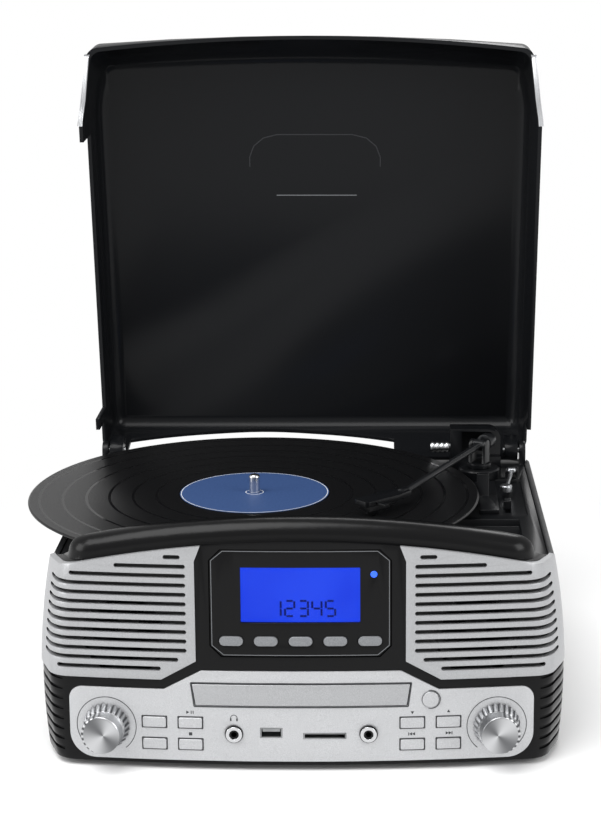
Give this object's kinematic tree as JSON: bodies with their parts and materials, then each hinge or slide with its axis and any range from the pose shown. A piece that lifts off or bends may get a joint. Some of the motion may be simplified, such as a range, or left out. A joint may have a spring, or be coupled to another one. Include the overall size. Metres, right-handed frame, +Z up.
{
  "type": "retro record player",
  "caption": "Table-top music centre: belt-driven turntable with tone arm under a hinged smoked dust cover, disc drawer, display, keys, knobs and wrapped slotted speaker grilles.",
  "frame": {"origin": "middle of the footprint of the whole model, cover open, on the table", "axes": "+Z up, the front with its controls looks along -Y, +X to the viewer's right"},
  "size_m": [0.3508, 0.3652, 0.4237],
  "materials": {
    "black_plastic": "fine moulded texture",
    "rubber": "matt",
    "screw_steel": "plain",
    "cabinet_black": "semi-gloss moulded",
    "fascia_black": "gloss",
    "grille_silver": "satin silver paint",
    "speaker_black": "paper cone and steel basket",
    "panel_silver": "satin silver paint",
    "panel_black": "gloss",
    "window_clear": "clear",
    "display_blue": "lit blue display",
    "board_green": "solder mask",
    "socket_steel": "plated",
    "jack_black": "moulded",
    "deck_black": "semi-gloss moulded",
    "spindle_chrome": "polished",
    "bright_chrome": "polished",
    "loader_steel": "zinc plated",
    "belt_rubber": "matt",
    "platter_black": "moulded",
    "mat_felt": "felt",
    "vinyl": "grooved vinyl",
    "label_blue": "printed paper",
    "brass": "turned",
    "arm_silver": "satin",
    "arm_black": "moulded",
    "tray_black": "moulded",
    "knob_silver": "plated",
    "cover_smoke": "smoked clear",
    "trim_silver": "bright",
    "button_silver": "satin silver"
  },
  "bodies": {
    "root": {"bottom_tray": "black_plastic", "rubber_feet": "rubber", "case_screws": "screw_steel", "cabinet": "cabinet_black", "front_fascia": "fascia_black", "grille_left": "grille_silver", "grille_right": "grille_silver", "speakers": "speaker_black", "control_panel": "panel_silver", "display_panel": "panel_black", "display_window": "window_clear", "lcd_module": "display_blue", "circuit_boards": "board_green", "media_sockets": "socket_steel", "audio_jacks": "jack_black", "rear_panel": "black_plastic", "rear_sockets": "jack_black", "deck_plate": "deck_black", "hinge_pins": "screw_steel", "spindle": "spindle_chrome", "platter_motor": "screw_steel", "tonearm_base": "deck_black", "cue_damper": "bright_chrome", "arm_rest": "deck_black", "cd_loader": "loader_steel", "knob_encoders": "socket_steel", "drive_belt": "belt_rubber"},
    "platter": {"platter": "platter_black", "slip_mat": "mat_felt", "record": "vinyl", "record_label": "label_blue"},
    "motor_pulley": {"motor_pulley": "brass"},
    "arm_gimbal": {"arm_gimbal": "deck_black"},
    "tonearm": {"tonearm": "arm_silver", "headshell": "arm_black", "cartridge": "arm_black", "counterweight": "arm_silver"},
    "cue_lever": {"cue_lever": "arm_silver"},
    "speed_switch": {"speed_switch": "arm_black"},
    "cd_drawer": {"cd_tray": "tray_black", "drawer_front": "panel_silver"},
    "volume_knob": {"volume_knob": "knob_silver"},
    "tuning_knob": {"tuning_knob": "knob_silver"},
    "dust_cover": {"dust_cover": "cover_smoke", "cover_trim": "trim_silver"},
    "source_button_1": {"source_button_1": "button_silver"},
    "source_button_2": {"source_button_2": "button_silver"},
    "source_button_3": {"source_button_3": "button_silver"},
    "source_button_4": {"source_button_4": "button_silver"},
    "source_button_5": {"source_button_5": "button_silver"},
    "program_key": {"program_key": "button_silver"},
    "mode_key": {"mode_key": "button_silver"},
    "play_key": {"play_key": "button_silver"},
    "stop_key": {"stop_key": "button_silver"},
    "folder_down_key": {"folder_down_key": "button_silver"},
    "previous_key": {"previous_key": "button_silver"},
    "folder_up_key": {"folder_up_key": "button_silver"},
    "next_key": {"next_key": "button_silver"},
    "eject_button": {"eject_button": "button_silver"}
  },
  "joints": [
    {"name": "cover_hinge", "type": "hinge", "parent": "root", "child": "dust_cover", "pos_m": [0.01189, 0.12542, 0.126], "axis": [1, 0, 0], "range_deg": [0, 84.9]},
    {"name": "platter_spin", "type": "hinge", "parent": "root", "child": "platter", "pos_m": [-0.02461, 0.00312, 0.105], "axis": [0, 0, -1], "continuous": true},
    {"name": "pulley_spin", "type": "hinge", "parent": "root", "child": "motor_pulley", "pos_m": [-0.06687, 0.08258, 0.1165], "axis": [0, 0, -1], "continuous": true},
    {"name": "arm_swing", "type": "hinge", "parent": "root", "child": "arm_gimbal", "pos_m": [0.12989, 0.08542, 0.14], "axis": [0, 0, 1], "range_deg": [-12, 26]},
    {"name": "arm_lift", "type": "hinge", "parent": "arm_gimbal", "child": "tonearm", "pos_m": [0.12989, 0.08542, 0.14], "axis": [-0.8988, 0.4384, 0], "range_deg": [0, 8]},
    {"name": "cue_lift", "type": "hinge", "parent": "root", "child": "cue_lever", "pos_m": [0.15289, 0.08142, 0.122], "axis": [-1, 0, 0], "range_deg": [0, 24]},
    {"name": "speed_slide", "type": "slide", "parent": "root", "child": "speed_switch", "axis": [0, -1, 0], "range_m": [0, 0.008]},
    {"name": "drawer_slide", "type": "slide", "parent": "root", "child": "cd_drawer", "axis": [0, -1, 0], "range_m": [0, 0.13]},
    {"name": "volume_turn", "type": "hinge", "parent": "root", "child": "volume_knob", "pos_m": [-0.10731, -0.16342, 0.0275], "axis": [-0.1161, -0.9932, 0], "continuous": true},
    {"name": "tuning_turn", "type": "hinge", "parent": "root", "child": "tuning_knob", "pos_m": [0.13109, -0.16342, 0.0275], "axis": [0.1161, -0.9932, 0], "continuous": true},
    {"name": "source_button_1_press", "type": "slide", "parent": "root", "child": "source_button_1", "axis": [0, 1, 0], "range_m": [0, 0.0008], "stiffness_N_per_m": 400},
    {"name": "source_button_2_press", "type": "slide", "parent": "root", "child": "source_button_2", "axis": [0, 1, 0], "range_m": [0, 0.0008], "stiffness_N_per_m": 400},
    {"name": "source_button_3_press", "type": "slide", "parent": "root", "child": "source_button_3", "axis": [0, 1, 0], "range_m": [0, 0.0008], "stiffness_N_per_m": 400},
    {"name": "source_button_4_press", "type": "slide", "parent": "root", "child": "source_button_4", "axis": [0, 1, 0], "range_m": [0, 0.0008], "stiffness_N_per_m": 400},
    {"name": "source_button_5_press", "type": "slide", "parent": "root", "child": "source_button_5", "axis": [0, 1, 0], "range_m": [0, 0.0008], "stiffness_N_per_m": 400},
    {"name": "program_key_press", "type": "slide", "parent": "root", "child": "program_key", "axis": [0, 1, 0], "range_m": [0, 0.0008], "stiffness_N_per_m": 400},
    {"name": "mode_key_press", "type": "slide", "parent": "root", "child": "mode_key", "axis": [0, 1, 0], "range_m": [0, 0.0008], "stiffness_N_per_m": 400},
    {"name": "play_key_press", "type": "slide", "parent": "root", "child": "play_key", "axis": [0, 1, 0], "range_m": [0, 0.0008], "stiffness_N_per_m": 400},
    {"name": "stop_key_press", "type": "slide", "parent": "root", "child": "stop_key", "axis": [0, 1, 0], "range_m": [0, 0.0008], "stiffness_N_per_m": 400},
    {"name": "folder_down_key_press", "type": "slide", "parent": "root", "child": "folder_down_key", "axis": [0, 1, 0], "range_m": [0, 0.0008], "stiffness_N_per_m": 400},
    {"name": "previous_key_press", "type": "slide", "parent": "root", "child": "previous_key", "axis": [0, 1, 0], "range_m": [0, 0.0008], "stiffness_N_per_m": 400},
    {"name": "folder_up_key_press", "type": "slide", "parent": "root", "child": "folder_up_key", "axis": [0, 1, 0], "range_m": [0, 0.0008], "stiffness_N_per_m": 400},
    {"name": "next_key_press", "type": "slide", "parent": "root", "child": "next_key", "axis": [0, 1, 0], "range_m": [0, 0.0008], "stiffness_N_per_m": 400},
    {"name": "eject_button_press", "type": "slide", "parent": "root", "child": "eject_button", "axis": [0, 1, 0], "range_m": [0, 0.0008], "stiffness_N_per_m": 400}
  ],
  "couplings": [
    {"joint": "pulley_spin", "follows": "platter_spin", "ratio": 16},
    {"joint": "cue_lift", "follows": "arm_lift", "ratio": 3}
  ]
}
